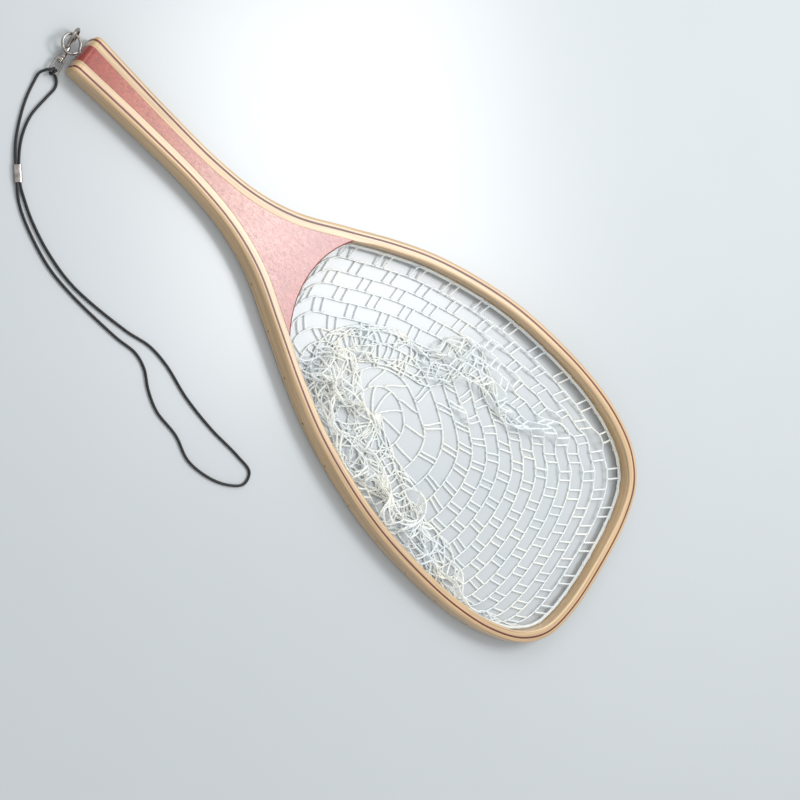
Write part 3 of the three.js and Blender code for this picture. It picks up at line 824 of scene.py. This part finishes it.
class Net:
    """The net as a grid of points, rings by columns, that keeps its lengths while it settles."""

    def __init__(self):
        self.random = np.random.default_rng(NET_SEED)
        rim = rim_line()
        self.rim = resample(rim, COLUMNS + 1)[:-1]
        perimeter = lengths_along(rim)[-1]
        self.ring_step = perimeter * np.sin(np.pi / 2 * np.minimum(RINGS / WALL_FROM, 1)) / COLUMNS
        self.place = folded_start(self.rim)
        self.crumple()
        self.weight = np.ones((len(RINGS), COLUMNS, 1))
        self.weight[[0, -1]] = 0
        self.hold_ends()
        away = rim - np.array(NET_MIDDLE)
        turn = np.arctan2(away[:, 1], away[:, 0])
        order = np.argsort(turn)
        reach = np.linalg.norm(away, axis=1)[order]
        self.wall_turn = np.concatenate([turn[order] - 2 * np.pi, turn[order], turn[order] + 2 * np.pi])
        self.wall_reach = np.concatenate([reach, reach, reach])

    def crumple(self):
        """Slow waves round the rings, so that they don't settle alike."""
        for _ in range(SMOOTHINGS):
            around = np.roll(self.place, 1, 1) + np.roll(self.place, -1, 1)
            self.place = 0.5 * self.place + 0.25 * around
        turn = np.arange(COLUMNS) / COLUMNS * 2 * np.pi
        for waves in range(3, 9):
            phase = self.random.uniform(0, 2 * np.pi, 2)
            size = self.random.normal(0, WAVE_SIZE / waves**0.5, (len(RINGS), 1))
            self.place[..., 0] += size * np.cos(waves * turn + phase[0])
            self.place[..., 1] += size * np.sin(waves * turn + phase[1])
        self.place += self.random.normal(0, JITTER, self.place.shape)

    def hold_ends(self):
        self.place[0] = (*HUB, HUB_HEIGHT)
        self.place[-1, :, :2] = self.rim
        self.place[-1, :, 2] = RIM_HEIGHT
        self.place[..., 2] = np.clip(self.place[..., 2], FLOOR_CLEAR, NET_TOP)

    def pull(self, first, second, length, when_long, when_short):
        """Moves the two sets of points towards their length apart."""
        gap = self.place[second] - self.place[first]
        size = np.linalg.norm(gap, axis=-1, keepdims=True) + 1e-9
        share = self.weight[first] + self.weight[second]
        share = np.where(share == 0, 1, share)
        move = np.where(size > length, when_long, when_short) * (size - length) / size * gap / share
        self.place[first] += self.weight[first] * move
        self.place[second] -= self.weight[second] * move

    def round_the_ring(self, skip, least, when_long, when_short):
        """Moves points so many columns apart towards that share of their length along the ring."""
        every = slice(None)
        length = (least * self.ring_step)[:, None, None]
        for first in range(2 * skip):
            at = np.arange(first, COLUMNS, 2 * skip)
            self.pull((every, at), (every, (at + skip) % COLUMNS), length, when_long, when_short)

    def along_the_path(self, skip, least, when_long, when_short):
        """The same for points so many rings apart, along their column."""
        for first in range(2 * skip):
            at = np.arange(first, len(RINGS) - skip, 2 * skip)
            if len(at):
                length = least * (RINGS[at + skip] - RINGS[at])[:, None, None]
                self.pull((at,), (at + skip,), length, when_long, when_short)

    def stay_in_hoop(self):
        away = self.place[:-1, :, :2] - np.array(NET_MIDDLE)
        reach = np.linalg.norm(away, axis=2)
        most = np.interp(np.arctan2(away[..., 1], away[..., 0]), self.wall_turn, self.wall_reach)
        self.place[:-1, :, :2] = NET_MIDDLE + away * np.minimum(1, most / np.maximum(reach, 1e-9))[..., None]

    def neighbours(self, points):
        """Pairs of points that lie near each other without being next to each other in the net."""
        flat = points[:, :2]
        near = ((flat[:, None] - flat[None]) ** 2).sum(-1) < LAYER_LOOK ** 2
        a, b = np.where(np.triu(near, 1))
        ring_a, ring_b = a // COLUMNS, b // COLUMNS
        columns = np.abs(a % COLUMNS - b % COLUMNS)
        columns = np.minimum(columns, COLUMNS - columns)
        apart = columns * self.ring_step[1 + np.minimum(ring_a, ring_b)]
        far = (np.abs(ring_a - ring_b) > 1) | (apart > SAME_STRAND)
        return a[far], b[far]

    def push_layers(self, look_again):
        """Pushes layers that lie too near each other apart, upwards more than sideways."""
        points = self.place[1:-1].reshape(-1, 3).astype(np.float32)
        if look_again:
            self.pairs = self.neighbours(points)
        a, b = self.pairs
        gap = points[b] - points[a]
        size = np.linalg.norm(gap, axis=1) + 1e-6
        close = size < LAYER_GAP
        a, b, gap, size = a[close], b[close], gap[close], size[close]
        way = gap / size[:, None]
        way[:, 2] *= LAYER_LIFT
        way /= np.linalg.norm(way, axis=1, keepdims=True) + 1e-6
        push = way * ((LAYER_GAP - size) / 4)[:, None]
        moved = np.zeros_like(points)
        met = np.ones(len(points), np.float32)
        np.add.at(moved, a, -push)
        np.add.at(moved, b, push)
        np.add.at(met, a, 1)
        np.add.at(met, b, 1)
        points += moved / np.sqrt(met)[:, None]
        self.place[1:-1] = points.reshape(len(RINGS) - 2, COLUMNS, 3)

    def settle(self, steps):
        """Falls step by step; after each, the strands are brought back to length and layers apart."""
        speed = np.zeros_like(self.place)
        for step in range(steps):
            before = self.place.copy()
            speed *= SPEED_KEPT
            speed += FALL
            self.place = self.place + speed * self.weight
            for turn in range(ROUNDS):
                self.round_the_ring(*KEEP_LENGTH)
                self.along_the_path(*KEEP_LENGTH)
                if turn % 2 == 0:
                    self.round_the_ring(*UNBEND_RING)
                    self.round_the_ring(*UNBEND_RING_FAR)
                    self.along_the_path(*UNBEND_PATH)
                self.hold_ends()
                if turn % 4 == 3:
                    self.stay_in_hoop()
            if step % 2 == 0:
                self.push_layers(step % 6 == 0)
                self.hold_ends()
            speed = np.clip(self.place - before, -TOP_SPEED, TOP_SPEED)
            on_floor = self.place[..., 2] < FLOOR_CLEAR + NEAR_FLOOR
            speed[..., :2] *= np.where(on_floor, FLOOR_GRIP, 1.0)[..., None]


def bars_of_row(row):
    """The columns of the row's bars: singles round the hub, then pairs, each row staggered on the last."""
    if RINGS[row + 1] < SINGLES_TO:
        spacing, pair = 2 * BAR_SPACING, (0,)
    elif RINGS[row + 1] < FEW_PAIRS_TO:
        spacing, pair = 2 * BAR_SPACING, (0, 1)
    else:
        spacing, pair = BAR_SPACING, (0, 1)
    first = spacing // 2 if row % 2 else 0
    return [(column + k) % COLUMNS for column in range(first, COLUMNS, spacing) for k in pair]


def hermite(a, b, leave, arrive, steps):
    t = np.linspace(0, 1, steps)[:, None]
    return ((2 * t**3 - 3 * t**2 + 1) * a + (t**3 - 2 * t**2 + t) * leave
            + (3 * t**2 - 2 * t**3) * b + (t**3 - t**2) * arrive)


def keep_in_hoop(line):
    """A strand stays above the table and no higher than the hoop."""
    line[:, 2] = np.clip(line[:, 2], STRAND_LOW * MM, STRAND_HIGH * MM)


def add_bag():
    """Round strands along the settled net's rings, bars between them, the rim and the hub's button."""
    net = Net()
    net.settle(NET_STEPS)
    place = in_row(net.place)
    strands = Gather()
    for ring in range(1, len(RINGS) - 1):
        closed = np.vstack([place[ring, -1:], place[ring], place[ring, :2]])
        line = catmull(closed, 3)[3:-4]
        keep_in_hoop(line)
        wave = 1 + RING_WAVE * np.sin(np.arange(len(line)) * 0.9 + ring)
        strands.add(*tube(line, RING_RADIUS * MM * wave, STRAND_SIDES, closed=True))
    for row in range(len(RINGS) - 1):
        for column in bars_of_row(row):
            a, b = place[row, column], place[row + 1, column]
            before = place[max(row - 1, 0), column]
            after = place[min(row + 2, len(RINGS) - 1), column]
            leave, arrive = (b - before) / 2, (after - a) / 2
            size = np.linalg.norm(b - a)
            leave *= size / max(np.linalg.norm(leave), 1e-9) * BAR_BEND
            arrive *= size / max(np.linalg.norm(arrive), 1e-9) * BAR_BEND
            line = hermite(a, b, leave, arrive, len(BAR_FLARE))
            keep_in_hoop(line)
            strands.add(*tube(line, BAR_RADIUS * MM * BAR_FLARE, STRAND_SIDES))
    rim = in_row(np.column_stack([net.rim, np.full(COLUMNS, RIM_HEIGHT)]))
    strands.add(*tube(rim, RIM_RADIUS * MM, 9, closed=True))
    strands.add(*hub_button(place[0, 0]))
    bag = strands.piece("rubber_net")
    bag.data.materials.append(rubber_material())
    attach(bag, "net_frame")
    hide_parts("rubber_bag")


def hub_button(centre):
    """The moulded button where the spokes meet: a low dome on both sides."""
    profile = [(2.2, 0.9), (3.8, 0.55), (4.4, 0.0), (3.8, -0.55), (2.2, -0.9)]
    crown = np.array([0, 0, 1.0])
    sides = 20
    verts, faces = [], []
    for radius, height in profile:
        for k in range(sides):
            angle = 2 * math.pi * k / sides
            offset = np.array([radius * math.cos(angle), radius * math.sin(angle), height])
            verts.append(centre + offset * MM)
    for i in range(len(profile) - 1):
        for k in range(sides):
            a, b = i * sides + k, i * sides + (k + 1) % sides
            faces.append((a, a + sides, b + sides, b))
    top, bottom = len(verts), len(verts) + 1
    verts += [centre + crown * MM, centre - crown * MM]
    last = (len(profile) - 1) * sides
    faces += [(top, k, (k + 1) % sides) for k in range(sides)]
    faces += [(bottom, last + (k + 1) % sides, last + k) for k in range(sides)]
    return np.array(verts), faces


def rubber_material():
    material, nodes, links = new_material("clear_rubber")
    shader = shader_of(material)
    place = mapped(nodes, links, (1, 1, 1))
    cloud = noise(nodes, links, place, 26.0, 3.0)
    tone = ramp(nodes, links, cloud, [(0.35, srgb(242, 248, 250)), (0.62, srgb(254, 254, 246))])
    links.new(tone, shader.inputs["Base Color"])
    fine = noise(nodes, links, place, 700.0, 3.0)
    links.new(scaled(nodes, links, fine, 0.12, 0.34), shader.inputs["Roughness"])
    shader.inputs["IOR"].default_value = 1.43
    shader.inputs["Transmission Weight"].default_value = 0.1
    shader.inputs["Alpha"].default_value = 0.55
    bump(nodes, links, fine, 0.3, 0.0002, shader)
    return material


# ---- metal ----
def nickel_material():
    material, nodes, links = new_material("nickel")
    shader = shader_of(material)
    place = mapped(nodes, links, (1, 1, 1))
    smear = noise(nodes, links, place, 240.0, 4.0)
    tone = ramp(nodes, links, smear, [(0.3, srgb(120, 114, 108)), (0.7, srgb(176, 170, 164))])
    links.new(tone, shader.inputs["Base Color"])
    shader.inputs["Metallic"].default_value = 1.0
    scratch = noise(nodes, links, mapped(nodes, links, (300, 1400, 1400)), 1.0, 3.0)
    links.new(scaled(nodes, links, scratch, 0.10, 0.30), shader.inputs["Roughness"])
    bump(nodes, links, scratch, 0.08, 0.00005, shader)
    return material


def refine(node, name, material, body, edge):
    """A piece in place of a CAD node: the same shape, welded, smoothed and with its sharp edges eased."""
    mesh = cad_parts[node].data.copy()
    mesh.name = name
    piece = link(bpy.data.objects.new(name, mesh))
    if "custom_normal" in mesh.attributes:
        mesh.attributes.remove(mesh.attributes["custom_normal"])
    with bmesh_of(piece) as shape:
        bmesh.ops.remove_doubles(shape, verts=shape.verts, dist=1e-6)
        bmesh.ops.dissolve_limit(shape, angle_limit=math.radians(1), verts=shape.verts, edges=shape.edges)
    mesh.materials.clear()
    mesh.materials.append(material)
    smooth_faces(piece)
    ease_sharp_edges(piece, edge, 38)
    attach(piece, body)
    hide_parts(node)


def add_screw_eye(material):
    """One wire: the shank comes out of the butt, turns into the ring, and the ring's end meets its start."""
    x, y, z = EYE_CENTRE
    turn = np.radians(np.linspace(17, 349, 72))
    ring = np.column_stack([x + EYE_RADIUS * np.cos(turn), y + EYE_RADIUS * np.sin(turn), np.full(72, z)])
    bend = [(EYE_SCREW, y, z), (6, y, z), (0.6, y, z), (-0.9, y + 0.1, z), (-1.8, y + 0.7, z)]
    line = catmull(np.vstack([bend, ring]), 4)
    radius = np.full(len(line), EYE_WIRE)
    radius[-6:] *= np.sqrt(1 - np.linspace(0, 0.9, 6) ** 2)
    eye = Gather()
    eye.add(*tube(in_row(line), radius * MM, 16))
    piece = eye.piece("screw_eye_wire")
    piece.data.materials.append(material)
    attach(piece, "net_frame")
    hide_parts("screw_eye")


def add_hitch():
    """The cord's round turn on the end of the swivel's bail, between the two ends of its route."""
    steps = 12
    line = catmull(in_row([*CORD_ROUTE[1::-1], *TURN_ROUTE, *CORD_ROUTE[:-3:-1]]), steps)[steps:-steps]
    hitch = Gather()
    hitch.add(*tube(line, CORD_DIAMETER / 2, 16))
    piece = hitch.piece("cord_turn")
    piece.data.materials.append(cord_material())
    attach(piece, "lanyard")
    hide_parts("cord_hitch")


def add_lacing():
    """Clear line that ties the rim to the hoop: over the rim, into each hole, and back under the rim."""
    rim = rim_line()
    along = lengths_along(rim)
    tangent = np.gradient(rim, axis=0)
    tangent /= np.linalg.norm(tangent, axis=1, keepdims=True)
    outward = np.column_stack([-tangent[:, 1], tangent[:, 0]])
    if (outward * (rim - np.array(NET_MIDDLE))).sum() < 0:
        outward = -outward
    points = []
    holes, _ = hole_places()
    at_hole = sorted(along[np.argmin(np.linalg.norm(rim - hole, axis=1))] for hole in holes)
    for hole in at_hole:
        for ahead, out, up in STITCH:
            at = hole + ahead
            place = np.array([np.interp(at, along, rim[:, k]) for k in (0, 1)])
            away = np.array([np.interp(at, along, outward[:, k]) for k in (0, 1)])
            points.append((*(place + away * out), RIM_HEIGHT + up))
    line = catmull(in_row(points), 5)
    lacing = Gather()
    lacing.add(*tube(line, LACING_RADIUS * MM, 8))
    piece = lacing.piece("lacing_line")
    piece.data.materials.append(rubber_material())
    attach(piece, "net_frame")


def add_hardware():
    nickel = nickel_material()
    add_screw_eye(nickel)
    refine("snap_hook", "snap_body", nickel, "snap", 0.12 * MM)
    refine("snap_gate", "snap_lever", nickel, "gate", 0.12 * MM)
    refine("gate_pin", "lever_pin", nickel, "snap", 0.08 * MM)
    refine("gate_spring", "lever_spring", nickel, "snap", 0.02 * MM)
    refine("swivel_rivet", "swivel_stud", nickel, "snap", 0.1 * MM)
    refine("swivel_eye", "swivel_bail", nickel, "lanyard", 0.12 * MM)
    refine("crimp_sleeve", "crimped_tube", nickel, "lanyard", 0.1 * MM)


add_camera()
add_hardware()
add_hitch()
add_cord()
add_floor()
add_lights()
add_laminations()
add_core()
add_bag()
add_lacing()
